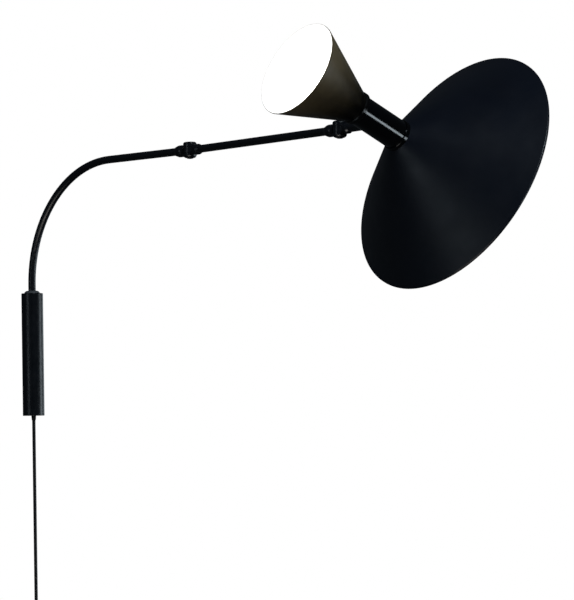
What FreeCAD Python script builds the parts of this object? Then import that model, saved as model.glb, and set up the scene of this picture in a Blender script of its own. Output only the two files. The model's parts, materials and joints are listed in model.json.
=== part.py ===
"""Swing arm wall light with a two-ended head: wall tube, two jointed arms, yoke and twin reflectors.

Millimetres, +Z up. The wall is the plane Y = 0 and the light stands out towards -Y.
The origin is the centre of the wall plate's back face. Every piece is one STEP file in parts/.
The arms are drawn along +X about their own pivots and then turned to the rest pose.
The head is drawn along +Z about the point where the tilt axis crosses it; +Z points to the large reflector.
"""
import FreeCAD, Part
import math
import os

from FreeCAD import Matrix, Placement, Rotation, Vector

# ---------------------------------------------------------------- driving dimensions
# rest pose
AZIMUTH_LOWER = -48.85
AZIMUTH_UPPER = -54.6
AZIMUTH_HEAD = -56.8         # yoke and tilt axis
HEAD_TILT = 25.1             # large reflector points this far below level

# wall mount
TUBE_LENGTH = 164.0
TUBE_R = 14.5
TUBE_WALL = 1.5
TUBE_AXIS_Y = -24.0
PLATE_WIDTH = 20.0
PLATE_HEIGHT = 150.0
PLATE_THICK = 3.0
SCREW_SPACING = 120.0
SCREW_HOLE_R = 2.25
HOOK_HEIGHT = 45.0           # hook studs sit this far above and below the origin

# arms
ROD_R = 5.0
ROD_BORE_R = 3.5
ARM_RISE = 168.0             # arm centreline above the top of the wall tube
BEND_R = 156.0
LOWER_REACH = 308.8          # wall tube axis to elbow pivot
UPPER_REACH = 291.4          # elbow pivot to head pivot
ROD_BOTTOM_Z = 4.0
BUSH_CLEARANCE = 0.05

# knuckles
SLOT_HALF = 4.0
TONGUE_HALF = 3.4
FRICTION_WASHER = 0.5
PIVOT_R = 2.5
KNUCKLE_R = 8.7
KNUCKLE_LOW = -10.0
KNUCKLE_HIGH = 10.6
SCREW_HEAD_R = 5.2           # sunk in the knuckle's top
SCREW_SEAT_Z = 8.2
CAP_NUT_R = 4.3              # sunk in its underside, with a domed end
NUT_SEAT_Z = -7.6
SUNK_CLEARANCE = 0.2
SOCKET_LENGTH = 25.0         # pivot to the end of the socket that grips the rod
COLLAR_END = 21.5            # pivot to the end of the tongue's collar

# yoke and tilt joint
YOKE_REACH = 75.6            # head pivot to the head's own axis
STUB_R = 4.0
STUB_BORE_R = 2.2
BOSS_R = 8.0
BOSS_OUT = 23.4              # outer face of the boss, from the head's own axis

# head
NECK_R = 18.5
NECK_WALL = 1.5
NECK_FRONT = -40.0
NECK_REAR = 27.2
RING_FRONT = -42.0
RING_REAR = -36.0
RING_R = 21.0
COLLAR_FRONT = 26.6
COLLAR_REAR = 31.6
REAR_COLLAR_R = 20.0
CONE_THROAT_R = 19.5
SEAT_R = 14.0                # hole in each reflector's seat
FACE_GAP = 0.05
MOUTH_R = 59.4
MOUTH_Z = -136.6
DISC_R = 156.5
DISC_Z = 126.5
SHEET = 1.0
PLATE_NEAR = 10.5            # lampholder plates, from the tilt axis
HOLDER_R = 12.5
BULB_R = 22.5

# cord
CORD_R = 2.25
RELIEF_OUT = 6.0             # strain relief below the end cap
RELIEF_IN = 16.0
COIL_CENTRE_Z = -374.0
COIL_LAYERS = 3
COIL_COLUMNS = 4
COIL_MEAN_R = 27.0
COIL_MEET = 8.0              # the straight ends run this near to the coil's middle height
TAIL_LENGTH = 46.0
PLUG_LENGTH = 36.0
PIN_LENGTH = 19.0

# ---------------------------------------------------------------- values worked out from them
TUBE_TOP = TUBE_LENGTH / 2
TUBE_BOTTOM = -TUBE_LENGTH / 2
TUBE_BORE_R = TUBE_R - TUBE_WALL
ARM_Z = TUBE_TOP + ARM_RISE
BEND_START_Z = ARM_Z - BEND_R
NECK_BORE_R = NECK_R - NECK_WALL
BOSS_START = YOKE_REACH - BOSS_OUT
CORD_D = 2 * CORD_R
COIL_OUTER_R = COIL_MEAN_R + CORD_D * COIL_LAYERS / 2
COIL_INNER_R = COIL_MEAN_R - CORD_D * COIL_LAYERS / 2
COIL_LEAD_R = COIL_MEAN_R + CORD_D * (COIL_LAYERS - 1) / 2
TAIL_Y = TUBE_AXIS_Y - CORD_D * (COIL_COLUMNS - 1)

X = Vector(1, 0, 0)
Y = Vector(0, 1, 0)
Z = Vector(0, 0, 1)


def polar(origin, azimuth, reach):
    """The point at a distance from origin in a level direction."""
    angle = math.radians(azimuth)
    return origin + Vector(reach * math.cos(angle), reach * math.sin(angle), 0)


SHOULDER = Vector(0, TUBE_AXIS_Y, 0)
ELBOW = polar(Vector(0, TUBE_AXIS_Y, ARM_Z), AZIMUTH_LOWER, LOWER_REACH)
HEAD_PIVOT = polar(ELBOW, AZIMUTH_UPPER, UPPER_REACH)
HEAD_CENTRE = polar(HEAD_PIVOT, AZIMUTH_HEAD, YOKE_REACH)

AT_WALL_TUBE = Placement(SHOULDER, Rotation())
LOWER_FRAME = Placement(SHOULDER, Rotation(Z, AZIMUTH_LOWER))
LOWER_TIP_FRAME = Placement(ELBOW, Rotation(Z, AZIMUTH_LOWER))
UPPER_FRAME = Placement(ELBOW, Rotation(Z, AZIMUTH_UPPER))
UPPER_TIP_FRAME = Placement(HEAD_PIVOT, Rotation(Z, AZIMUTH_UPPER))
YOKE_FRAME = Placement(HEAD_PIVOT, Rotation(Z, AZIMUTH_HEAD))
HEAD_TURN = Rotation(Z, AZIMUTH_HEAD).multiply(Rotation(X, -(90 + HEAD_TILT)))
HEAD_FRAME = Placement(HEAD_CENTRE, HEAD_TURN)


# ---------------------------------------------------------------- shape helpers
def rod(radius, start, end, axis=Z):
    """A round bar between two distances along an axis through the origin."""
    base = Vector(axis).multiply(start)
    return Part.makeCylinder(radius, end - start, base, axis)


def tube(outer, inner, start, end, axis=Z):
    """A straight round tube along an axis through the origin."""
    overrun = 1.0
    return rod(outer, start, end, axis).cut(rod(inner, start - overrun, end + overrun, axis))


def block(low, high):
    """A box between two corners."""
    size = [b - a for a, b in zip(low, high)]
    return Part.makeBox(*size, Vector(*low))


def turned(profile, axis=Z):
    """A solid of revolution from (radius, distance along the axis) points."""
    if axis == Z:
        points = [Vector(r, 0, d) for r, d in profile]
    else:
        points = [Vector(d, 0, r) for r, d in profile]
    face = Part.Face(Part.makePolygon(points + points[:1]))
    return face.revolve(Vector(0, 0, 0), axis, 360)


def hexagon(across_flats, start, end, axis=Z):
    """A hexagonal bar, for nuts."""
    corner_r = across_flats / math.sqrt(3)
    prism = Part.makePolygon([corner(corner_r, k) for k in range(7)])
    bar = Part.Face(prism).extrude(Vector(0, 0, end - start))
    bar.translate(Vector(0, 0, start))
    if axis == X:
        bar.rotate(Vector(0, 0, 0), Y, 90)
    return bar


def corner(radius, k):
    """Corner k of a hexagon in the XY plane."""
    angle = math.radians(60 * k)
    return Vector(radius * math.cos(angle), radius * math.sin(angle), 0)


def rim_edges(shape, height):
    """The round edges of a shape that lie at one height."""
    return [e for e in shape.Edges if abs(e.BoundBox.ZMin - height) < 1e-3
            and abs(e.BoundBox.ZMax - height) < 1e-3]


def placed(shape, frame):
    """A copy of a shape moved from its own frame to the model's."""
    return shape.transformed(frame.toMatrix(), True)


def save(name, *shapes):
    """Write one node; several separate solids make one file."""
    shape = shapes[0] if len(shapes) == 1 else Part.makeCompound(list(shapes))
    if not shape.isValid():
        raise ValueError(name + " is not a valid shape")
    shape.exportStep("parts/" + name + ".step")
    print("%-24s solids %d  volume %.0f" % (name, len(shape.Solids), shape.Volume))


# ---------------------------------------------------------------- wall mount
def wall_plate():
    """Flat strip for the wall with two screw holes, countersunk on the front."""
    plate = block((-PLATE_WIDTH / 2, -PLATE_THICK, -PLATE_HEIGHT / 2),
                  (PLATE_WIDTH / 2, 0, PLATE_HEIGHT / 2))
    corners = [e for e in plate.Edges if e.BoundBox.YLength > PLATE_THICK / 2]
    plate = plate.makeFillet(4.0, corners)
    for z in (-SCREW_SPACING / 2, SCREW_SPACING / 2):
        hole = Part.makeCylinder(SCREW_HOLE_R, PLATE_THICK + 2, Vector(0, 1, z), Vector(0, -1, 0))
        sink = Part.makeCone(SCREW_HOLE_R, SCREW_HOLE_R + 1.2, 1.2, Vector(0, 1.2 - PLATE_THICK, z),
                             Vector(0, -1, 0))
        plate = plate.cut(hole).cut(sink)
    return plate


def hook_stud(z):
    """Shouldered stud on the plate; its head hooks into the tube's keyhole."""
    shoulder_y = TUBE_AXIS_Y + TUBE_R + 0.3
    head_y = TUBE_AXIS_Y + TUBE_BORE_R - 1.3
    steps = [(4.5, -PLATE_THICK, shoulder_y), (2.5, shoulder_y, head_y), (4.5, head_y, head_y - 2.5)]
    bars = [Part.makeCylinder(r, near - far, Vector(0, near, z), Vector(0, -1, 0))
            for r, near, far in steps]
    return bars[0].multiFuse(bars[1:]).removeSplitter()


def keyhole(z):
    """Cutter for a keyhole in the tube's back wall, narrow end up."""
    depth = TUBE_R - 4.0
    entry = Part.makeCylinder(5.2, depth, Vector(0, 4.0, z - 9.0), Y)
    slot_end = Part.makeCylinder(2.8, depth, Vector(0, 4.0, z), Y)
    slot = block((-2.8, 4.0, z - 9.0), (2.8, 4.0 + depth, z))
    return entry.fuse(slot_end).fuse(slot)


def wall_tube():
    """Upright tube, open at both ends, with two keyholes at the back."""
    shell = tube(TUBE_R, TUBE_BORE_R, TUBE_BOTTOM, TUBE_TOP)
    rims = [e for z in (TUBE_BOTTOM, TUBE_TOP) for e in rim_edges(shell, z)
            if e.BoundBox.XLength > 2 * TUBE_R - 0.5]
    shell = shell.makeFillet(0.6, rims)
    for z in (-HOOK_HEIGHT, HOOK_HEIGHT):
        shell = shell.cut(keyhole(z))
    return shell


def top_bush():
    """Domed bearing cap that closes the tube and carries the riser."""
    bore = ROD_R + BUSH_CLEARANCE
    plug_r = TUBE_BORE_R - 0.02
    profile = [(bore, TUBE_TOP - 14), (plug_r, TUBE_TOP - 14), (plug_r, TUBE_TOP),
               (10.5, TUBE_TOP), (10.2, TUBE_TOP + 1.2), (9.0, TUBE_TOP + 2.5),
               (7.3, TUBE_TOP + 3.4), (bore, TUBE_TOP + 3.4)]
    return turned(profile)


def lower_bush():
    """Second bearing for the riser, inside the tube."""
    return tube(TUBE_BORE_R - 0.02, ROD_R + BUSH_CLEARANCE, 12.0, 24.0)


def end_cap():
    """Cap in the tube's bottom end with the hole for the strain relief."""
    rim = 1.6
    profile = [(3.3, TUBE_BOTTOM), (TUBE_BORE_R - 0.02, TUBE_BOTTOM), (TUBE_BORE_R - 0.02, TUBE_BOTTOM + 8),
               (TUBE_BORE_R - 2, TUBE_BOTTOM + 8), (TUBE_BORE_R - 2, TUBE_BOTTOM + rim),
               (3.3, TUBE_BOTTOM + rim)]
    return turned(profile)


def strain_relief():
    """Tapered rubber sleeve around the cord where it leaves the tube."""
    cap_face = 1.6
    profile = [(CORD_R, TUBE_BOTTOM + RELIEF_IN), (5.0, TUBE_BOTTOM + RELIEF_IN),
               (5.0, TUBE_BOTTOM + cap_face + 0.1), (3.2, TUBE_BOTTOM + cap_face + 0.1),
               (3.2, TUBE_BOTTOM - 1.0), (2.7, TUBE_BOTTOM - RELIEF_OUT), (CORD_R, TUBE_BOTTOM - RELIEF_OUT)]
    return turned(profile)


# ---------------------------------------------------------------- cord, as it lies at rest
def cord_lead():
    """The straight hanging run, from the sleeve's inner end to the coil's outer turn."""
    return rod(CORD_R, COIL_CENTRE_Z + COIL_MEET, TUBE_BOTTOM + RELIEF_IN)


def cord_coil():
    """Outer shape of the wound-up length, a ring with a square section."""
    front = TAIL_Y - CORD_R
    back = TUBE_AXIS_Y + CORD_R
    centre = Vector(-COIL_LEAD_R, front, COIL_CENTRE_Z)
    outer = Part.makeCylinder(COIL_OUTER_R, back - front, centre, Y)
    inner = Part.makeCylinder(COIL_INNER_R, back - front, centre, Y)
    return outer.cut(inner)


def cord_tie():
    """Strap round the coil's near side, where the lead runs in."""
    clear = 0.5
    wall = 1.2
    half = 3.5
    low_x = COIL_INNER_R - COIL_LEAD_R
    high_x = COIL_OUTER_R - COIL_LEAD_R
    front = TAIL_Y - CORD_R
    back = TUBE_AXIS_Y + CORD_R
    inner = block((low_x - clear, front - clear, COIL_CENTRE_Z - half),
                  (high_x + clear, back + clear, COIL_CENTRE_Z + half))
    outer = block((low_x - clear - wall, front - clear - wall, COIL_CENTRE_Z - half),
                  (high_x + clear + wall, back + clear + wall, COIL_CENTRE_Z + half))
    return outer.cut(inner)


def cord_tail():
    """Short end between the coil and the plug."""
    top = Vector(0, TAIL_Y, COIL_CENTRE_Z - COIL_MEET)
    return Part.makeCylinder(CORD_R, TAIL_LENGTH - COIL_MEET, top, -Z)


def plug_top():
    """Height where the cord enters the plug."""
    return COIL_CENTRE_Z - TAIL_LENGTH


def plug_body():
    """Flat two-pin plug: a slim neck that widens to a rounded six-sided body."""
    top = plug_top()
    outline = [(-4, 0), (4, 0), (5, -9), (16, -17), (17.5, -25), (13, -PLUG_LENGTH),
               (-13, -PLUG_LENGTH), (-17.5, -25), (-16, -17), (-5, -9)]
    points = [Vector(x, TAIL_Y - 6.5, top + z) for x, z in outline]
    body = Part.Face(Part.makePolygon(points + points[:1])).extrude(Vector(0, 13, 0))
    upright = [e for e in body.Edges if e.BoundBox.YLength > 6]
    return body.makeFillet(1.8, upright)


def plug_pin(x):
    """One round contact pin with a rounded tip."""
    top = plug_top() - PLUG_LENGTH
    pin = Part.makeCylinder(2.0, PIN_LENGTH, Vector(x, TAIL_Y, top - PIN_LENGTH), Z)
    return pin.makeFillet(1.2, rim_edges(pin, top - PIN_LENGTH))


# ---------------------------------------------------------------- lower arm
def arm_path():
    """Centreline of the bent rod: riser, quarter bend, level run."""
    end_x = LOWER_REACH - SOCKET_LENGTH + 12.0
    bend_mid = Vector(BEND_R * (1 - math.cos(math.pi / 4)), 0, BEND_START_Z + BEND_R * math.sin(math.pi / 4))
    foot = Vector(0, 0, ROD_BOTTOM_Z)
    bend_low = Vector(0, 0, BEND_START_Z)
    bend_high = Vector(BEND_R, 0, ARM_Z)
    return Part.Wire([Part.LineSegment(foot, bend_low).toShape(),
                      Part.Arc(bend_low, bend_mid, bend_high).toShape(),
                      Part.LineSegment(bend_high, Vector(end_x, 0, ARM_Z)).toShape()])


def bent_arm():
    """Hollow rod swept along the path."""
    solids = []
    for radius in (ROD_R, ROD_BORE_R):
        ring = Part.Wire(Part.makeCircle(radius, Vector(0, 0, ROD_BOTTOM_Z), Z))
        solids.append(arm_path().makePipeShell([ring], True, False))
    return solids[0].cut(solids[1])


def thrust_collar():
    """Collar that rests the arm's weight on the inner bush."""
    return tube(9.0, ROD_R, 24.3, 32.0)


def retaining_ring():
    """Ring under the inner bush that stops the arm lifting out."""
    return tube(8.0, ROD_R, 8.0, 11.7)


# ---------------------------------------------------------------- knuckles, pivot at the origin
def knuckle_fork():
    """Socket, web and two ears around a vertical pivot; the rod comes in from -X."""
    barrel = rod(KNUCKLE_R, KNUCKLE_LOW, KNUCKLE_HIGH)
    barrel = barrel.makeFillet(4.2, rim_edges(barrel, KNUCKLE_LOW))
    barrel = barrel.makeFillet(2.8, rim_edges(barrel, KNUCKLE_HIGH))
    socket = turned([(0, -SOCKET_LENGTH), (ROD_R + 0.6, -SOCKET_LENGTH), (7.2, -SOCKET_LENGTH + 4.5),
                     (7.7, -SOCKET_LENGTH + 6.5), (7.7, -SOCKET_LENGTH + 11.5), (6.9, -SOCKET_LENGTH + 14),
                     (6.9, 0), (0, 0)], X)
    slot = rod(KNUCKLE_R + 0.7, -SLOT_HALF, SLOT_HALF)
    rod_hole = rod(ROD_R, -SOCKET_LENGTH - 1, -SOCKET_LENGTH + 12, X)
    wire_hole = rod(ROD_BORE_R, -SOCKET_LENGTH + 11, 0, X)
    pivot_hole = rod(PIVOT_R, KNUCKLE_LOW - 1, KNUCKLE_HIGH + 1)
    screw_seat = rod(SCREW_HEAD_R + SUNK_CLEARANCE, SCREW_SEAT_Z, KNUCKLE_HIGH + 1)
    nut_seat = rod(CAP_NUT_R + SUNK_CLEARANCE, KNUCKLE_LOW - 1, NUT_SEAT_Z)
    fork = barrel.fuse(socket).cut(slot).cut(rod_hole).cut(wire_hole)
    return fork.cut(pivot_hole).cut(screw_seat).cut(nut_seat)


def knuckle_tongue():
    """Eye that turns between the ears, with a slim neck towards +X."""
    eye = rod(KNUCKLE_R - 0.2, -TONGUE_HALF, TONGUE_HALF)
    neck = block((0, -4, -TONGUE_HALF), (14, 4, TONGUE_HALF))
    return eye.fuse(neck)


def tongue_bore(shape):
    """Cut the running hole for the pivot."""
    return shape.cut(rod(PIVOT_R + BUSH_CLEARANCE, -TONGUE_HALF - 1, TONGUE_HALF + 1))


def friction_washers():
    """One thin washer above the tongue and one below it."""
    gap = (SLOT_HALF - TONGUE_HALF - FRICTION_WASHER) / 2
    upper = tube(KNUCKLE_R - 1.2, PIVOT_R, TONGUE_HALF + gap, TONGUE_HALF + gap + FRICTION_WASHER)
    lower = tube(KNUCKLE_R - 1.2, PIVOT_R, -TONGUE_HALF - gap - FRICTION_WASHER, -TONGUE_HALF - gap)
    return [upper, lower]


def pivot_screw():
    """Shouldered screw down through both ears, with a slotted head sunk in the upper one."""
    head_top = KNUCKLE_HIGH - 0.1
    head = rod(SCREW_HEAD_R, SCREW_SEAT_Z, head_top)
    head = head.makeFillet(0.8, rim_edges(head, head_top))
    slot = block((-SCREW_HEAD_R, -0.5, head_top - 0.8), (SCREW_HEAD_R, 0.5, head_top + 1))
    return rod(PIVOT_R, KNUCKLE_LOW + 0.6, SCREW_SEAT_Z).fuse(head).cut(slot)


def cap_nut():
    """Domed nut sunk in the lower ear."""
    end = KNUCKLE_LOW - 0.9
    dome = rod(CAP_NUT_R, end, NUT_SEAT_Z)
    dome = dome.makeFillet(1.6, rim_edges(dome, end))
    return dome.cut(rod(PIVOT_R, end + 1.2, NUT_SEAT_Z + 1))


def elbow_tongue():
    """Eye and collar at the upper arm's root."""
    collar = turned([(0, 11), (5.4, 11), (6.9, 13), (6.9, 18), (ROD_R + 0.6, COLLAR_END),
                     (0, COLLAR_END)], X)
    body = knuckle_tongue().fuse(collar)
    body = body.cut(rod(ROD_R, 16, COLLAR_END + 1, X)).cut(rod(ROD_BORE_R - 1, 4, 17, X))
    return tongue_bore(body)


# ---------------------------------------------------------------- upper arm
def straight_arm():
    """Straight hollow rod between the two knuckles."""
    return tube(ROD_R, ROD_BORE_R, 16, UPPER_REACH - SOCKET_LENGTH + 12, X)


# ---------------------------------------------------------------- yoke
def head_yoke():
    """Eye, collar and hollow stub; the head tilts about the stub."""
    stub = turned([(0, 11), (5.2, 11), (6.5, 13), (6.5, 17.5), (5.0, 20), (5.0, BOSS_START - 0.9),
                   (STUB_R, BOSS_START - 0.9), (STUB_R, YOKE_REACH - 8), (0, YOKE_REACH - 8)], X)
    body = knuckle_tongue().fuse(stub)
    return tongue_bore(body.cut(rod(STUB_BORE_R, 5, YOKE_REACH, X)))


def tilt_washer():
    """Thin washer between the yoke's shoulder and the boss on the neck."""
    return tube(6.5, STUB_R, BOSS_START - 0.8, BOSS_START - 0.3, X)


def tilt_nut():
    """Lock nut on the stub, inside the neck."""
    start = YOKE_REACH - NECK_BORE_R + 2.6
    return hexagon(12.0, start, start + 4.5, X).cut(rod(STUB_R, start - 1, start + 6, X))


# ---------------------------------------------------------------- head, +Z towards the large reflector
def neck_tube():
    """Tube that holds both lampholders, with a side hole for the stub."""
    shell = tube(NECK_R, NECK_BORE_R, NECK_FRONT, NECK_REAR)
    return shell.cut(rod(STUB_R + BUSH_CLEARANCE, -NECK_R - 1, -NECK_BORE_R + 3, X))


def tilt_boss():
    """Round boss on the neck's side that the stub turns in."""
    start = BOSS_START - YOKE_REACH
    boss = tube(BOSS_R, STUB_R + BUSH_CLEARANCE, start, -NECK_R + 4, X)
    boss = boss.cut(rod(NECK_R, -20, 20))
    return max(boss.Solids, key=lambda solid: solid.Volume)


def inner_saddle():
    """Saddle washer that gives the lock nut a flat seat inside the neck."""
    saddle = tube(7.0, STUB_R + BUSH_CLEARANCE, -NECK_R, -NECK_BORE_R + 2.2, X)
    return saddle.common(rod(NECK_BORE_R, -20, 20))


def front_ring():
    """Grooved bead between the neck and the small reflector."""
    bore = NECK_R + 0.02
    mid = (RING_FRONT + RING_REAR) / 2
    profile = [(bore, RING_FRONT), (RING_R - 1.2, RING_FRONT), (RING_R, RING_FRONT + 1.0),
               (RING_R, mid - 0.9), (RING_R - 0.7, mid - 0.6), (RING_R, mid - 0.3),
               (RING_R, mid + 0.6), (RING_R - 0.7, mid + 0.9), (RING_R, mid + 1.2),
               (RING_R, RING_REAR - 1.0), (RING_R - 1.2, RING_REAR), (bore, RING_REAR)]
    return turned(profile)


def rear_collar():
    """Plain collar between the neck and the large reflector."""
    collar = tube(REAR_COLLAR_R, NECK_R + 0.02, COLLAR_FRONT, COLLAR_REAR)
    edges = [e for e in rim_edges(collar, COLLAR_FRONT) if e.BoundBox.XLength > 2 * REAR_COLLAR_R - 0.5]
    return collar.makeFillet(0.8, edges)


def reflector(throat_z, rim_z, rim_r, lip):
    """Spun cone of thin sheet with a flat seat at the throat and a short lip at the rim."""
    side = 1 if rim_z > throat_z else -1
    lip_z = rim_z - side * lip
    slope = math.atan2(rim_r - CONE_THROAT_R, abs(lip_z - throat_z))
    inner_throat_r = CONE_THROAT_R - SHEET / math.cos(slope) + SHEET * math.tan(slope)
    inner_lip_z = lip_z + side * SHEET * (1 / math.cos(slope) - 1) / math.tan(slope)
    return turned([(SEAT_R, throat_z), (CONE_THROAT_R, throat_z), (rim_r, lip_z), (rim_r, rim_z),
                   (rim_r - SHEET, rim_z), (rim_r - SHEET, inner_lip_z),
                   (inner_throat_r, throat_z + side * SHEET), (SEAT_R, throat_z + side * SHEET)])


def small_reflector():
    """Deep cone at the front end."""
    return reflector(RING_FRONT - FACE_GAP, MOUTH_Z, MOUTH_R, 1.5)


def large_reflector():
    """Wide shallow cone at the rear end."""
    return reflector(COLLAR_REAR + FACE_GAP, DISC_Z, DISC_R, 2.5)


def shade_ring(bore, near, far):
    """Ring that clamps a reflector's seat, screwed on the lampholder's barrel."""
    return tube(17.5, bore, near, far)


def flipped(shape):
    """The same piece at the other end of the neck."""
    copy = shape.copy()
    copy.rotate(Vector(0, 0, 0), X, 180)
    return copy


def lampholder_plate():
    """Round plate across the neck with a centre hole and a wire hole."""
    plate = tube(NECK_BORE_R - 0.03, 5.05, PLATE_NEAR, PLATE_NEAR + 1.5)
    return plate.cut(Part.makeCylinder(2.5, 4, Vector(0, 11, PLATE_NEAR - 1), Z))


def nipple():
    """Threaded tube that joins a lampholder to its plate."""
    return tube(5.0, 3.2, PLATE_NEAR - 3.4, PLATE_NEAR + 8.5)


def nipple_nut():
    """Thin nut on the nipple behind the plate."""
    return hexagon(14.0, PLATE_NEAR - 3.0, PLATE_NEAR - 0.1).cut(rod(5.0, 0, PLATE_NEAR))


def lampholder():
    """Small screw lampholder: closed base and an open barrel."""
    base = PLATE_NEAR + 1.6
    profile = [(5.0, base), (11.5, base), (HOLDER_R, base + 1.2), (HOLDER_R, base + 25),
               (HOLDER_R - 1.5, base + 27), (HOLDER_R - 1.5, base + 36), (7.3, base + 36),
               (7.3, base + 14), (5.0, base + 14)]
    return turned(profile)


def bulb_cap():
    """Metal screw cap of the bulb."""
    base = PLATE_NEAR + 16.5
    return turned([(0, base), (3.5, base), (6.9, base + 3), (6.9, base + 21), (0, base + 21)])


def bulb_glass():
    """Round bulb that narrows to its cap."""
    neck_z = PLATE_NEAR + 37.5
    centre_z = neck_z + 34
    bulb = Part.makeSphere(BULB_R, Vector(0, 0, centre_z))
    touch = math.radians(38)
    cone = Part.makeCone(7.2, BULB_R * math.cos(touch), centre_z - BULB_R * math.sin(touch) - neck_z,
                         Vector(0, 0, neck_z), Z)
    return bulb.fuse(cone)


# ---------------------------------------------------------------- build
def build_wall_mount():
    save("wall_plate", wall_plate())
    save("hook_studs", hook_stud(HOOK_HEIGHT), hook_stud(-HOOK_HEIGHT))
    save("wall_tube", placed(wall_tube(), AT_WALL_TUBE))
    save("top_bush", placed(top_bush(), AT_WALL_TUBE))
    save("lower_bush", placed(lower_bush(), AT_WALL_TUBE))
    save("end_cap", placed(end_cap(), AT_WALL_TUBE))
    save("strain_relief", placed(strain_relief(), AT_WALL_TUBE))


def build_cord():
    save("cord_lead", placed(cord_lead(), AT_WALL_TUBE))
    save("cord_coil", cord_coil())
    save("cord_tie", cord_tie())
    save("cord_tail", cord_tail())
    save("plug_body", plug_body())
    save("plug_pins", plug_pin(-9.5), plug_pin(9.5))


def build_lower_arm():
    save("bent_arm", placed(bent_arm(), LOWER_FRAME))
    save("thrust_collar", placed(thrust_collar(), LOWER_FRAME))
    save("retaining_ring", placed(retaining_ring(), LOWER_FRAME))
    save("elbow_fork", placed(knuckle_fork(), LOWER_TIP_FRAME))
    save("elbow_screw", placed(pivot_screw(), LOWER_TIP_FRAME))
    save("elbow_cap_nut", placed(cap_nut(), LOWER_TIP_FRAME))
    save("elbow_washers", *[placed(w, LOWER_TIP_FRAME) for w in friction_washers()])


def build_upper_arm():
    save("elbow_tongue", placed(elbow_tongue(), UPPER_FRAME))
    save("straight_arm", placed(straight_arm(), UPPER_FRAME))
    save("head_fork", placed(knuckle_fork(), UPPER_TIP_FRAME))
    save("head_screw", placed(pivot_screw(), UPPER_TIP_FRAME))
    save("head_cap_nut", placed(cap_nut(), UPPER_TIP_FRAME))
    save("head_washers", *[placed(w, UPPER_TIP_FRAME) for w in friction_washers()])


def build_yoke():
    save("head_yoke", placed(head_yoke(), YOKE_FRAME))
    save("tilt_washer", placed(tilt_washer(), YOKE_FRAME))
    save("tilt_nut", placed(tilt_nut(), YOKE_FRAME))


def build_head():
    pieces = {"neck_tube": neck_tube(), "tilt_boss": tilt_boss(), "inner_saddle": inner_saddle(),
              "front_ring": front_ring(), "rear_collar": rear_collar(),
              "small_reflector": small_reflector(), "large_reflector": large_reflector()}
    for name, shape in pieces.items():
        save(name, placed(shape, HEAD_FRAME))
    seat = SHEET + 2 * FACE_GAP
    rear_ring = shade_ring(HOLDER_R + 0.02, COLLAR_REAR + seat, COLLAR_REAR + seat + 3)
    front_ring_nut = shade_ring(HOLDER_R - 1.48, RING_FRONT - seat - 3, RING_FRONT - seat)
    save("rear_shade_ring", placed(rear_ring, HEAD_FRAME))
    save("front_shade_ring", placed(front_ring_nut, HEAD_FRAME))
    paired = {"lampholder_plates": lampholder_plate(), "nipples": nipple(), "nipple_nuts": nipple_nut()}
    for name, shape in paired.items():
        save(name, placed(shape, HEAD_FRAME), placed(flipped(shape), HEAD_FRAME))
    lamp = {"lampholder": lampholder(), "bulb_cap": bulb_cap(), "bulb_glass": bulb_glass()}
    for name, shape in lamp.items():
        save("rear_" + name, placed(shape, HEAD_FRAME))
        save("front_" + name, placed(flipped(shape), HEAD_FRAME))


os.makedirs("parts", exist_ok=True)
build_wall_mount()
build_cord()
build_lower_arm()
build_upper_arm()
build_yoke()
build_head()
print("elbow", ELBOW, "head pivot", HEAD_PIVOT, "head centre", HEAD_CENTRE)
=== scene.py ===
import json
import math

import bmesh
import bpy
from mathutils import Matrix, Vector


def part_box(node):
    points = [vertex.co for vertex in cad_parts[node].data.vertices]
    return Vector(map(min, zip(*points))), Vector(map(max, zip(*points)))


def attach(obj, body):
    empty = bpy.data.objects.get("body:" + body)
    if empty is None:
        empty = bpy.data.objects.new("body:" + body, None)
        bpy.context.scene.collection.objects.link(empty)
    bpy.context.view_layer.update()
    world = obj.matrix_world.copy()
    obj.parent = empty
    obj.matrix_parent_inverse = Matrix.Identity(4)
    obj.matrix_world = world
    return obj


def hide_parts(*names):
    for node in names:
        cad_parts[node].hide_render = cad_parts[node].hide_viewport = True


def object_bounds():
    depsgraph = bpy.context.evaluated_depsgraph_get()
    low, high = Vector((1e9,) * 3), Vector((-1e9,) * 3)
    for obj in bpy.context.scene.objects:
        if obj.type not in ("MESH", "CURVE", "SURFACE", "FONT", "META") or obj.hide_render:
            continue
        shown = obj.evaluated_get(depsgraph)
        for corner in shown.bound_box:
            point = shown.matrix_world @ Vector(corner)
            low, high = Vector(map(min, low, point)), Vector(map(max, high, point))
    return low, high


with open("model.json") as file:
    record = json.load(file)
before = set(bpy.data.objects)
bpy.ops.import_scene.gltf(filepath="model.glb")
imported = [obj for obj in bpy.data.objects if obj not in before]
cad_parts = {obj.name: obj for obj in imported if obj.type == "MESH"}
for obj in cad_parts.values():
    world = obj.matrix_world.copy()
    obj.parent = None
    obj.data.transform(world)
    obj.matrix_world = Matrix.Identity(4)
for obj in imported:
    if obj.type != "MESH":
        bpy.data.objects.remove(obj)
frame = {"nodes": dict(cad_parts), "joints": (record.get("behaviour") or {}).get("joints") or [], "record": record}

# Studio scene of the swing arm wall light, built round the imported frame. Metres, +Z up.
CAD_BOX = [list(corner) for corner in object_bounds()]
MM = 0.001


# ---------------------------------------------------------------- places read from the frame
def centre_of(node):
    low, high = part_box(node)
    return (low + high) / 2


def joint_named(name):
    return next(joint for joint in frame["joints"] if joint["name"] == name)


def axis_frame(origin, axis, side):
    """Matrix whose local Z is the axis and whose local X is the side direction."""
    z = axis.normalized()
    y = z.cross(side).normalized()
    x = y.cross(z)
    turn = Matrix((x, y, z)).transposed().to_4x4()
    return Matrix.Translation(origin) @ turn


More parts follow.
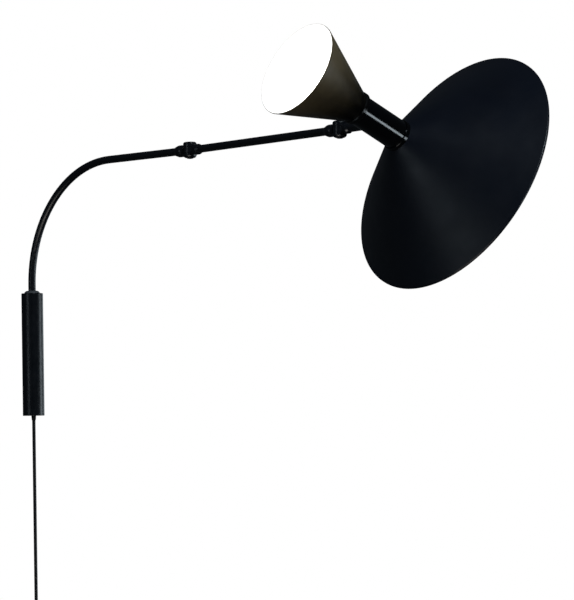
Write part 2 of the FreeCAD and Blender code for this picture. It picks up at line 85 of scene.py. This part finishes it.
def reach(node):
    """(largest radius, lowest and highest place along the axis) of a node in the head's frame."""
    back = HEAD_FRAME.inverted()
    points = [back @ vertex.co for vertex in frame["nodes"][node].data.vertices]
    radius = max(math.hypot(point.x, point.y) for point in points)
    return radius, min(point.z for point in points), max(point.z for point in points)


TILT = joint_named("head_tilt")
HEAD_CENTRE = Vector(TILT["pos_m"])
HEAD_AXIS = centre_of("rear_shade_ring") - centre_of("front_shade_ring")
HEAD_FRAME = axis_frame(HEAD_CENTRE, HEAD_AXIS, Vector(TILT["axis"]))
TUBE_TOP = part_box("wall_tube")[1].z
SWIVEL = Vector(joint_named("wall_swivel")["pos_m"])       # on the wall tube's axis, at its top

# ---------------------------------------------------------------- camera
CAMERA_DISTANCE = 4.2        # from the wall tube
CAMERA_DROP = 0.2224         # below the wall tube's top
CAMERA_YAW = math.radians(4.67)
CAMERA_PITCH = math.radians(2.84)
CAMERA_ROLL = math.radians(-0.99)
CAMERA_LENS = 187.36         # millimetres, as Blender counts lenses
CAMERA_RANGE = 60            # past the backdrop


def add_camera():
    eye = Vector((SWIVEL.x, SWIVEL.y - CAMERA_DISTANCE, TUBE_TOP - CAMERA_DROP))
    forward = Vector((math.sin(CAMERA_YAW) * math.cos(CAMERA_PITCH),
                      math.cos(CAMERA_YAW) * math.cos(CAMERA_PITCH), math.sin(CAMERA_PITCH)))
    level_right = Vector((math.cos(CAMERA_YAW), -math.sin(CAMERA_YAW), 0))
    level_up = level_right.cross(forward)
    right = level_right * math.cos(CAMERA_ROLL) + level_up * math.sin(CAMERA_ROLL)
    up = level_up * math.cos(CAMERA_ROLL) - level_right * math.sin(CAMERA_ROLL)
    data = bpy.data.cameras.new("camera")
    data.lens = CAMERA_LENS
    data.clip_end = CAMERA_RANGE
    camera = bpy.data.objects.new("camera", data)
    turn = Matrix((right, up, -forward)).transposed().to_4x4()
    camera.matrix_world = Matrix.Translation(eye) @ turn
    bpy.context.scene.collection.objects.link(camera)
    bpy.context.scene.camera = camera


add_camera()


# ---------------------------------------------------------------- materials
WHITE = (1, 1, 1)
LAMP_WHITE = (1, 0.97, 0.93)


class Finish:
    """A material with a Principled shader, and the few node chains that the finishes share."""

    def __init__(self, name, roughness, metallic=0.0, specular=0.5):
        self.material = bpy.data.materials.new(name)
        self.material.use_nodes = True
        self.tree = self.material.node_tree
        self.shader = self.tree.nodes["Principled BSDF"]
        self.shader.inputs["Roughness"].default_value = roughness
        self.shader.inputs["Metallic"].default_value = metallic
        self.shader.inputs["Specular IOR Level"].default_value = specular
        self.place = self.add("ShaderNodeTexCoord").outputs["Object"]

    def add(self, kind):
        return self.tree.nodes.new(kind)

    def join(self, output, target):
        self.tree.links.new(output, target)

    def follow_head(self):
        """Patterns made after this lie along the head's own axis."""
        mapping = self.add("ShaderNodeMapping")
        mapping.vector_type = "TEXTURE"
        mapping.inputs["Location"].default_value = HEAD_FRAME.to_translation()
        mapping.inputs["Rotation"].default_value = HEAD_FRAME.to_euler()
        self.join(self.place, mapping.inputs["Vector"])
        self.place = mapping.outputs["Vector"]

    def noise(self, size, detail=2.0, stretch=None):
        """Noise whose lumps are about that many metres across."""
        node = self.add("ShaderNodeTexNoise")
        node.inputs["Scale"].default_value = 1 / size
        node.inputs["Detail"].default_value = detail
        place = self.place
        if stretch:
            mapping = self.add("ShaderNodeMapping")
            mapping.inputs["Scale"].default_value = stretch
            self.join(place, mapping.inputs["Vector"])
            place = mapping.outputs["Vector"]
        self.join(place, node.inputs["Vector"])
        return node.outputs["Fac"]

    def ramp(self, value, low, high, from_low=0.3, from_high=0.7):
        """A value spread from one range to another."""
        node = self.add("ShaderNodeMapRange")
        node.inputs["From Min"].default_value = from_low
        node.inputs["From Max"].default_value = from_high
        node.inputs["To Min"].default_value = low
        node.inputs["To Max"].default_value = high
        self.join(value, node.inputs["Value"])
        return node.outputs["Result"]

    def colour(self, value, first, second, stops=(0.3, 0.7)):
        """Base colour that goes from first to second as the value rises."""
        node = self.add("ShaderNodeValToRGB")
        low, high = node.color_ramp.elements
        low.position, high.position = stops
        low.color = (*first, 1)
        high.color = (*second, 1)
        self.join(value, node.inputs["Fac"])
        self.join(node.outputs["Color"], self.shader.inputs["Base Color"])

    def sheen(self, value, low, high):
        """Roughness that goes from low to high as the value rises."""
        self.join(self.ramp(value, low, high), self.shader.inputs["Roughness"])

    def glow(self, colour, strength):
        self.shader.inputs["Emission Color"].default_value = (*colour, 1)
        self.shader.inputs["Emission Strength"].default_value = strength

    def bump(self, *layers):
        """Normal from layers of (value, height in metres)."""
        normal = None
        for value, height in layers:
            node = self.add("ShaderNodeBump")
            node.inputs["Distance"].default_value = height
            self.join(value, node.inputs["Height"])
            if normal:
                self.join(normal, node.inputs["Normal"])
            normal = node.outputs["Normal"]
        self.join(normal, self.shader.inputs["Normal"])

    def along_axis(self):
        """The place along the pattern's own Z axis, in metres."""
        split = self.add("ShaderNodeSeparateXYZ")
        self.join(self.place, split.inputs["Vector"])
        return split.outputs["Z"]

    def rings(self, size):
        """Noise that changes only with the distance from the Z axis, as a spun sheet's marks do."""
        flat = self.add("ShaderNodeVectorMath")
        flat.operation = "MULTIPLY"
        flat.inputs[1].default_value = (1, 1, 0)
        self.join(self.place, flat.inputs[0])
        length = self.add("ShaderNodeVectorMath")
        length.operation = "LENGTH"
        self.join(flat.outputs["Vector"], length.inputs[0])
        node = self.add("ShaderNodeTexNoise")
        node.noise_dimensions = "1D"
        node.inputs["Scale"].default_value = 1 / size
        node.inputs["Detail"].default_value = 3
        self.join(length.outputs["Value"], node.inputs["W"])
        return node.outputs["Fac"]


def painted(name, first, second, roughness, peel=0.9 * MM, height=0.004 * MM, specular=0.5):
    """Powder coat or enamel: two close tones in soft clouds, a fine peel and uneven sheen."""
    finish = Finish(name, roughness, specular=specular)
    finish.colour(finish.noise(22 * MM, 4), first, second)
    finish.sheen(finish.noise(9 * MM, 3), roughness * 0.88, roughness * 1.12)
    finish.bump((finish.noise(peel, 2), height))
    return finish.material


def moulded(name, first, second, roughness, grain=0.35 * MM, height=0.01 * MM):
    """Moulded plastic or rubber with a fine even grain."""
    finish = Finish(name, roughness)
    finish.colour(finish.noise(12 * MM, 3), first, second)
    finish.sheen(finish.noise(3 * MM, 3), roughness * 0.9, roughness * 1.1)
    finish.bump((finish.noise(grain, 2), height))
    return finish.material


def metal(name, first, second, roughness, stretch=(1, 1, 12), height=0.003 * MM):
    """Bare or plated metal with faint drawn lines."""
    finish = Finish(name, roughness, metallic=1.0)
    finish.colour(finish.noise(8 * MM, 4), first, second)
    lines = finish.noise(1.2 * MM, 3, stretch)
    finish.sheen(lines, roughness * 0.8, roughness * 1.2)
    finish.bump((lines, height))
    return finish.material


def spun_blue_black():
    """Outside of the large reflector: satin coat over spun sheet, with faint rings."""
    finish = Finish("reflector_blue_black", 0.42)
    finish.follow_head()
    finish.colour(finish.noise(60 * MM, 4), (0.0035, 0.006, 0.0145), (0.005, 0.0085, 0.019))
    finish.sheen(finish.noise(25 * MM, 3), 0.38, 0.46)
    finish.bump((finish.rings(2.4 * MM), 0.006 * MM), (finish.noise(1.0 * MM, 2), 0.003 * MM))
    return finish.material


PAINTED_SHADE_PLACE = -0.050        # along the head's axis: where the painted shade is full, next to the neck
PAINTED_SHEEN_PLACE = -0.128          # and where the painted warm sheen is full, near the mouth
# painted shade at the neck, and the painted warm sheen that stands for light on the black coat near the mouth
PAINTED_NECK_SHADE = (0.004, 0.003, 0.0018)
PAINTED_WARM_SHEEN = (0.2, 0.145, 0.075)
PAINTED_SHEEN_CLOUDS = 0.08         # how far the clouds shift the change from painted shade to painted sheen, as a share of it


def black_with_painted_warm_sheen():
    """Outside of the small reflector: black coat with a painted warm sheen (painted reflection of warm light) near
    the mouth, fading to painted shade, nearly black, at the neck.
    """
    finish = Finish("reflector_bronze", 0.42, specular=0.22)
    finish.follow_head()
    share = finish.ramp(finish.along_axis(), 0, 1, PAINTED_SHADE_PLACE, PAINTED_SHEEN_PLACE)
    clouds = finish.ramp(finish.noise(14 * MM, 4), -PAINTED_SHEEN_CLOUDS, PAINTED_SHEEN_CLOUDS)
    total = finish.add("ShaderNodeMath")
    finish.join(share, total.inputs[0])
    finish.join(clouds, total.inputs[1])
    # colour runs from painted shade at the neck to the painted warm sheen near the mouth
    finish.colour(total.outputs["Value"], PAINTED_NECK_SHADE, PAINTED_WARM_SHEEN, (0, 1))
    finish.sheen(finish.noise(10 * MM, 3), 0.36, 0.46)
    finish.bump((finish.rings(1.6 * MM), 0.006 * MM), (finish.noise(0.9 * MM, 2), 0.003 * MM))
    return finish.material


def white_enamel(name, glow):
    """Inside of a reflector: smooth white enamel; glow is painted lamp light on it, an even emission that stands
    for the bulb's light.
    """
    finish = Finish(name, 0.35)
    finish.follow_head()
    finish.colour(finish.noise(30 * MM, 3), (0.86, 0.86, 0.84), (0.92, 0.92, 0.91))
    finish.sheen(finish.noise(8 * MM, 3), 0.3, 0.4)
    finish.bump((finish.rings(2.0 * MM), 0.004 * MM), (finish.noise(1.2 * MM, 2), 0.003 * MM))
    finish.glow(WHITE, glow)
    return finish.material


def opal_glass(name, glow):
    """Opal bulb: milky glass with a soft skin gloss."""
    finish = Finish(name, 0.12)
    finish.colour(finish.noise(10 * MM, 2), (0.9, 0.9, 0.88), (0.95, 0.95, 0.93))
    finish.sheen(finish.noise(4 * MM, 2), 0.1, 0.16)
    finish.bump((finish.noise(3 * MM, 2), 0.004 * MM))
    finish.shader.inputs["Subsurface Weight"].default_value = 0.3
    finish.shader.inputs["Subsurface Scale"].default_value = 2 * MM
    finish.glow(LAMP_WHITE, glow)
    return finish.material


LIT_BULB_GLOW = 8.0
# painted lamp light: how strongly the small reflector's enamel glows in place of the bulb's light on it
ENAMEL_PAINTED_LAMP_LIGHT = 0.55

MATERIALS = {
    "zinc_steel": metal("zinc_steel", (0.5, 0.51, 0.53), (0.6, 0.61, 0.63), 0.34),
    "tube_black": painted("tube_black", (0.004, 0.0055, 0.009), (0.0055, 0.0075, 0.012), 0.34),
    "bush_grey": moulded("bush_grey", (0.10, 0.105, 0.115), (0.14, 0.145, 0.155), 0.5),
    "plastic_black": moulded("plastic_black", (0.006, 0.006, 0.007), (0.009, 0.009, 0.01), 0.5),
    "rubber_black": moulded("rubber_black", (0.005, 0.005, 0.006), (0.008, 0.008, 0.009), 0.6),
    "cord_black": moulded("cord_black", (0.004, 0.004, 0.005), (0.007, 0.007, 0.008), 0.5,
                          grain=0.6 * MM, height=0.008 * MM),
    "tie_black": moulded("tie_black", (0.006, 0.006, 0.006), (0.01, 0.01, 0.01), 0.7,
                         grain=0.5 * MM, height=0.05 * MM),
    "plug_black": moulded("plug_black", (0.006, 0.006, 0.007), (0.009, 0.009, 0.01), 0.42),
    "contact_nickel": metal("contact_nickel", (0.68, 0.66, 0.61), (0.76, 0.74, 0.69), 0.22),
    "arm_black": painted("arm_black", (0.0055, 0.0065, 0.0105), (0.007, 0.0085, 0.013), 0.38),
    "knuckle_black": painted("knuckle_black", (0.005, 0.0065, 0.0105), (0.007, 0.009, 0.0135), 0.32,
                             peel=0.7 * MM, height=0.006 * MM),
    "screw_black": metal("screw_black", (0.02, 0.02, 0.023), (0.035, 0.035, 0.04), 0.36),
    "washer_nylon": moulded("washer_nylon", (0.02, 0.02, 0.02), (0.03, 0.03, 0.03), 0.5),
    "neck_gloss_black": painted("neck_gloss_black", (0.0015, 0.002, 0.003), (0.0025, 0.003, 0.0045),
                                0.16, peel=1.4 * MM, height=0.001 * MM, specular=0.3),
    "ring_black": painted("ring_black", (0.003, 0.003, 0.0035), (0.005, 0.005, 0.0055), 0.3),
    # outside of the small reflector: black coat with a painted warm sheen and painted shade at the neck
    "reflector_bronze": black_with_painted_warm_sheen(),
    "reflector_blue_black": spun_blue_black(),
    "holder_plastic": moulded("holder_plastic", (0.78, 0.77, 0.72), (0.84, 0.83, 0.79), 0.3),
    "bulb_opal": opal_glass("bulb_opal", 0.0),
}
LIT_BULB = opal_glass("bulb_opal_lit", LIT_BULB_GLOW)
# enamel with painted lamp light, for the small reflector's inside
ENAMEL_WITH_PAINTED_LAMP_LIGHT = white_enamel("enamel_lit", ENAMEL_PAINTED_LAMP_LIGHT)
DARK_ENAMEL = white_enamel("enamel_unlit", 0.0)


def finish_cad_nodes():
    for part in frame["record"]["subparts"]:
        node = frame["nodes"][part["node"]]
        node.data.materials.clear()
        node.data.materials.append(MATERIALS[part["material_slot"]])
    bulb = frame["nodes"]["front_bulb_glass"]
    bulb.data.materials[0] = LIT_BULB


finish_cad_nodes()

# ---------------------------------------------------------------- the cord
COIL_LAYERS = 3
COIL_COLUMNS = 4
COIL_POINTS = 24                 # points on each turn
SHIFT_ARC = math.radians(150)    # stretch of each turn in which the lead moves to its next place
CORNER_BULGE = 0.45              # how far it rides out where it changes column, in cord diameters

LEAD_LOW, LEAD_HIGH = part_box("cord_lead")
COIL_LOW, COIL_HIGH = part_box("cord_coil")
CORD_D = LEAD_HIGH.x - LEAD_LOW.x
CORD_EXIT = Vector((SWIVEL.x, SWIVEL.y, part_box("strain_relief")[0].z))
COIL_CENTRE = (COIL_LOW + COIL_HIGH) / 2
COIL_MEAN_R = (COIL_HIGH.z - COIL_LOW.z) / 2 - CORD_D * COIL_LAYERS / 2
COIL_LEAD_R = COIL_MEAN_R + CORD_D * (COIL_LAYERS - 1) / 2
PLUG_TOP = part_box("plug_body")[1].z


def coil_places():
    """(layer, column) of each turn: in through the layers, then out again, column after column."""
    places = []
    for column in range(COIL_COLUMNS):
        layers = range(COIL_LAYERS)
        if column % 2 == 0:
            layers = reversed(layers)
        places += [(layer, column) for layer in layers]
    return places


def smooth(share):
    """A share from 0 to 1 that starts and ends gently."""
    share = min(max(share, 0.0), 1.0)
    return share * share * (3 - 2 * share)


def coil_points():
    """The wound turns, clockwise seen from the front, from the coil's right-hand side."""
    places = coil_places()
    places.append(places[-1])
    step = 2 * math.pi / COIL_POINTS
    outward = 1 / math.cos(step / 2)
    points = []
    for (layer, column), (next_layer, next_column) in zip(places, places[1:]):
        for k in range(COIL_POINTS):
            angle = k * step
            moved = (angle - math.pi / 2) / SHIFT_ARC + 0.5
            share = smooth(moved)
            bulge = 0.0
            if next_column != column:
                side = 1 if layer == COIL_LAYERS - 1 else -1
                bulge = side * CORNER_BULGE * math.sin(math.pi * min(max(moved, 0), 1)) ** 2
            level = layer + share * (next_layer - layer) - (COIL_LAYERS - 1) / 2
            depth = column + share * (next_column - column)
            radius = (COIL_MEAN_R + (level + bulge) * CORD_D) * outward
            points.append(Vector((COIL_CENTRE.x + radius * math.cos(angle),
                                  CORD_EXIT.y - depth * CORD_D,
                                  COIL_CENTRE.z - radius * math.sin(angle))))
    return points


def cord_route():
    spacing = 2 * math.pi * COIL_LEAD_R / COIL_POINTS
    tail_y = CORD_EXIT.y - (COIL_COLUMNS - 1) * CORD_D
    coil_start = Vector((CORD_EXIT.x, CORD_EXIT.y, COIL_CENTRE.z + spacing))
    coil_end = Vector((CORD_EXIT.x, tail_y, COIL_CENTRE.z))
    into_plug = Vector((CORD_EXIT.x, tail_y, PLUG_TOP))
    return [CORD_EXIT, coil_start, *coil_points(), coil_end, coil_end - Vector((0, 0, spacing)), into_plug]


def add_cord():
    route = cord_route()
    curve = bpy.data.curves.new("mains_lead", "CURVE")
    curve.dimensions = "3D"
    spline = curve.splines.new("NURBS")
    spline.points.add(len(route) - 1)
    for point, place in zip(spline.points, route):
        point.co = (*place, 1)
    spline.order_u = 3
    spline.use_endpoint_u = True
    spline.resolution_u = 6
    curve.bevel_depth = CORD_D / 2
    curve.bevel_resolution = 8
    curve.use_fill_caps = True
    curve.materials.append(MATERIALS["cord_black"])
    cord = bpy.data.objects.new("mains_lead", curve)
    bpy.context.scene.collection.objects.link(cord)
    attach(cord, "wall_mount")
    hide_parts("cord_lead", "cord_coil", "cord_tail")


add_cord()


# ---------------------------------------------------------------- turned pieces
ARC_STEPS = 5


def rounded(corners):
    """Closed outline from (radius, height, fillet, material) corners; each corner gets its fillet."""
    outline = []
    count = len(corners)
    for i, (r, z, fillet, index) in enumerate(corners):
        here = Vector((r, z))
        before = Vector(corners[i - 1][:2]) - here
        after = Vector(corners[(i + 1) % count][:2]) - here
        half = before.angle(after) / 2
        back = fillet / math.tan(half)
        start = here + before.normalized() * back
        middle = here + (before.normalized() + after.normalized()).normalized() * fillet / math.sin(half)
        first = start - middle
        sweep = -first.angle_signed(here + after.normalized() * back - middle)
        for k in range(ARC_STEPS + 1):
            turn = Matrix.Rotation(sweep * k / ARC_STEPS, 2)
            outline.append((*(middle + turn @ first), index))
    return outline


def add_shade(name, outline, enamel, slot, replaced, segments):
    """Turned piece of the head from (radius, height, material) points about the head's axis."""
    mesh = bpy.data.meshes.new(name)
    bm = bmesh.new()
    angles = [2 * math.pi * k / segments for k in range(segments)]
    rings = [[bm.verts.new((r * math.cos(a), r * math.sin(a), z)) for a in angles]
             for r, z, _ in outline]
    for i, (_, _, index) in enumerate(outline):
        ring = rings[i]
        following = rings[(i + 1) % len(rings)]
        for k in range(segments):
            j = (k + 1) % segments
            face = bm.faces.new((ring[k], ring[j], following[j], following[k]))
            face.material_index = index
            face.smooth = True
    bmesh.ops.recalc_face_normals(bm, faces=bm.faces)
    bmesh.ops.transform(bm, matrix=HEAD_FRAME, verts=bm.verts)
    bm.to_mesh(mesh)
    bm.free()
    mesh.materials.append(MATERIALS[slot])
    mesh.materials.append(enamel)
    piece = bpy.data.objects.new(name, mesh)
    bpy.context.scene.collection.objects.link(piece)
    weighted = piece.modifiers.new("weighted_normals", "WEIGHTED_NORMAL")
    weighted.keep_sharp = True
    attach(piece, "head")
    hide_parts(replaced)


# ---------------------------------------------------------------- reflectors
SHEET = 1.0 * MM
SEAT_R = 14.0 * MM               # hole in the seat, at the neck
THROAT_R = 19.5 * MM             # where the cone starts
EDGE_FILLET = 0.49 * SHEET       # nearly a full round on a cut edge
BEND_FILLET = 0.8 * MM
LIP_FILLET = 1.8 * MM
INNER_THROAT_FILLET = 0.4 * MM
LARGE_LIP = 2.5 * MM             # short straight band at the rim
SMALL_LIP = 1.5 * MM
LARGE_SEGMENTS = 192
SMALL_SEGMENTS = 144
OUTSIDE = 0                      # material slots of a shade
INSIDE = 1


def reflector_outline(node, side, lip):
    """Spun cone: seat, throat, cone, short straight lip with a rounded edge, and back inside.

    side is 1 where the cone opens towards the head's +Z and -1 where it opens towards -Z.
    """
    rim_r, low, high = reach(node)
    throat_z, rim_z = (low, high) if side > 0 else (high, low)
    lip_z = rim_z - side * lip
    slope = math.atan2(rim_r - THROAT_R, abs(lip_z - throat_z))
    inner_throat_r = THROAT_R - SHEET / math.cos(slope) + SHEET * math.tan(slope)
    inner_lip_z = lip_z + side * SHEET * (1 / math.cos(slope) - 1) / math.tan(slope)
    return rounded([
        (SEAT_R, throat_z, EDGE_FILLET, OUTSIDE),
        (THROAT_R, throat_z, BEND_FILLET, OUTSIDE),
        (rim_r, lip_z, LIP_FILLET, OUTSIDE),
        (rim_r, rim_z, EDGE_FILLET, OUTSIDE),
        (rim_r - SHEET, rim_z, EDGE_FILLET, INSIDE),
        (rim_r - SHEET, inner_lip_z, BEND_FILLET, INSIDE),
        (inner_throat_r, throat_z + side * SHEET, INNER_THROAT_FILLET, INSIDE),
        (SEAT_R, throat_z + side * SHEET, EDGE_FILLET, INSIDE),
    ])


add_shade("large_shade", reflector_outline("large_reflector", 1, LARGE_LIP), DARK_ENAMEL,
          "reflector_blue_black", "large_reflector", LARGE_SEGMENTS)
# small shade: painted warm sheen and painted neck shade outside, painted lamp light on the enamel inside
add_shade("small_shade", reflector_outline("small_reflector", -1, SMALL_LIP), ENAMEL_WITH_PAINTED_LAMP_LIGHT,
          "reflector_bronze", "small_reflector", SMALL_SEGMENTS)

# ---------------------------------------------------------------- studio
FLOOR_DROP = 0.12            # below the object's lowest point
FLOOR_GLOW = 0.6             # the lights are dim, so the floor glows to stay pale
FLOOR_RADIUS = 5.5
FLOOR_SEGMENTS = 128
FLOOR_TONES = ((0.8, 0.8, 0.8), (0.84, 0.84, 0.84))
DOME_RADIUS = 22.0
OBJECT_CENTRE = (Vector(CAD_BOX[0]) + Vector(CAD_BOX[1])) / 2

WORLD_TINT = (0.75, 0.88, 1)
WORLD_STRENGTH = 0.032
COOL = (0.8, 0.92, 1.0)
WARM = (1, 0.95, 0.88)
SOFT_LIGHTS = [              # name, what it lights, place from there, width, height, watts, colour
    ("key", HEAD_CENTRE, (0.9, -2.6, 2.6), 0.5, 0.5, 46, COOL),
    ("fill", HEAD_CENTRE, (2.6, -1.6, -1.2), 0.7, 0.7, 20, COOL),
    ("low", HEAD_CENTRE, (-1.0, -1.6, -2.2), 1.8, 1.8, 34, WARM),
    ("side", SWIVEL, (-1.9, -1.6, 0.2), 0.3, 1.6, 3, COOL),
    ("right", HEAD_CENTRE, (3.0, 0.6, -0.8), 1.6, 1.6, 40, COOL),
    ("rear", HEAD_CENTRE, (1.4, 3.0, -0.2), 1.6, 1.6, 10, COOL),
]


def stage_mesh(name, mesh, material):
    mesh.materials.append(material)
    piece = bpy.data.objects.new(name, mesh)
    bpy.context.scene.collection.objects.link(piece)
    return piece


def add_floor():
    """Pale floor that takes the object's shadow and sends no light back to it."""
    finish = Finish("floor", 0.7)
    finish.colour(finish.noise(0.6, 3), *FLOOR_TONES)
    finish.glow(WHITE, FLOOR_GLOW)
    mesh = bpy.data.meshes.new("floor")
    bm = bmesh.new()
    bmesh.ops.create_circle(bm, cap_ends=True, segments=FLOOR_SEGMENTS, radius=FLOOR_RADIUS)
    bm.to_mesh(mesh)
    bm.free()
    floor = stage_mesh("floor", mesh, finish.material)
    floor.location = (OBJECT_CENTRE.x, OBJECT_CENTRE.y, CAD_BOX[0][2] - FLOOR_DROP)
    floor.visible_diffuse = False
    floor.visible_glossy = False


def add_dome():
    """White backdrop all round that only the camera sees."""
    material = bpy.data.materials.new("backdrop")
    material.use_nodes = True
    tree = material.node_tree
    tree.nodes.clear()
    glow = tree.nodes.new("ShaderNodeEmission")
    output = tree.nodes.new("ShaderNodeOutputMaterial")
    tree.links.new(glow.outputs["Emission"], output.inputs["Surface"])
    mesh = bpy.data.meshes.new("backdrop")
    bm = bmesh.new()
    bmesh.ops.create_icosphere(bm, subdivisions=4, radius=DOME_RADIUS)
    bm.to_mesh(mesh)
    bm.free()
    dome = stage_mesh("backdrop", mesh, material)
    dome.location = OBJECT_CENTRE
    dome.visible_diffuse = False
    dome.visible_glossy = False
    dome.visible_transmission = False
    dome.visible_shadow = False


def add_soft_light(name, target, offset, width, height, power, tint):
    """Rectangular light that faces its target and that the camera doesn't see."""
    data = bpy.data.lights.new(name, "AREA")
    data.shape = "RECTANGLE"
    data.size = width
    data.size_y = height
    data.energy = power
    data.color = tint
    light = bpy.data.objects.new(name, data)
    place = target + Vector(offset)
    turn = (target - place).to_track_quat("-Z", "Y").to_matrix().to_4x4()
    light.matrix_world = Matrix.Translation(place) @ turn
    light.visible_camera = False
    bpy.context.scene.collection.objects.link(light)


def add_studio():
    world = bpy.data.worlds.new("studio")
    world.use_nodes = True
    background = world.node_tree.nodes["Background"]
    background.inputs["Color"].default_value = (*WORLD_TINT, 1)
    background.inputs["Strength"].default_value = WORLD_STRENGTH
    bpy.context.scene.world = world
    for light in SOFT_LIGHTS:
        add_soft_light(*light)
    add_floor()
    add_dome()
    bpy.context.scene.view_settings.view_transform = "Standard"


add_studio()
